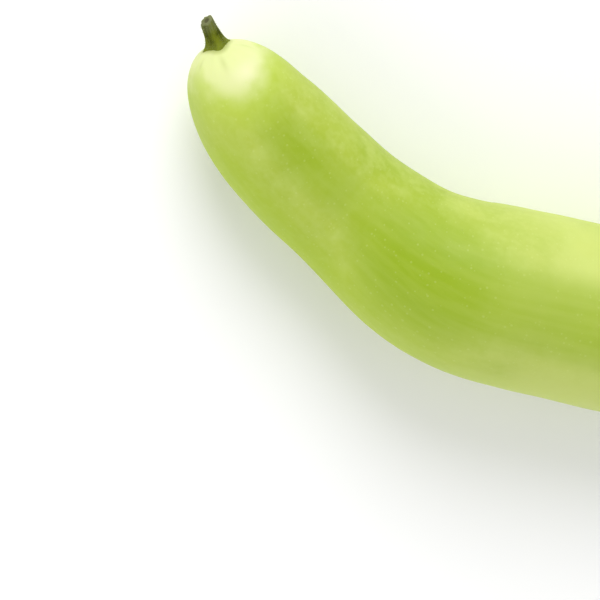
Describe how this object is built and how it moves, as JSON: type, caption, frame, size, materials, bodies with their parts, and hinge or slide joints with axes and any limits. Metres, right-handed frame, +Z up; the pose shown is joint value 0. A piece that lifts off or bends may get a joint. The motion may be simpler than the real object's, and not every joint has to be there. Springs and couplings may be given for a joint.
{
  "type": "bottle gourd",
  "caption": "Long curved bottle gourd with a slim neck, a fuller rounded belly and the cut, ridged stub of its stem, lying on its side.",
  "frame": {"origin": "on the surface that the gourd rests on, under the middle of its box", "axes": "+X along the gourd from its stem end to its blossom end, +Y towards the side that its stem end curls to, +Z up"},
  "size_m": [0.3358, 0.2114, 0.091],
  "materials": {
    "fruit": "smooth satin skin, pale lime green, paler round the stem",
    "stem": "dry, ridged, dark olive, with a greyer cut end"
  },
  "bodies": {
    "root": {"fruit": "fruit", "stem": "stem"}
  },
  "joints": []
}
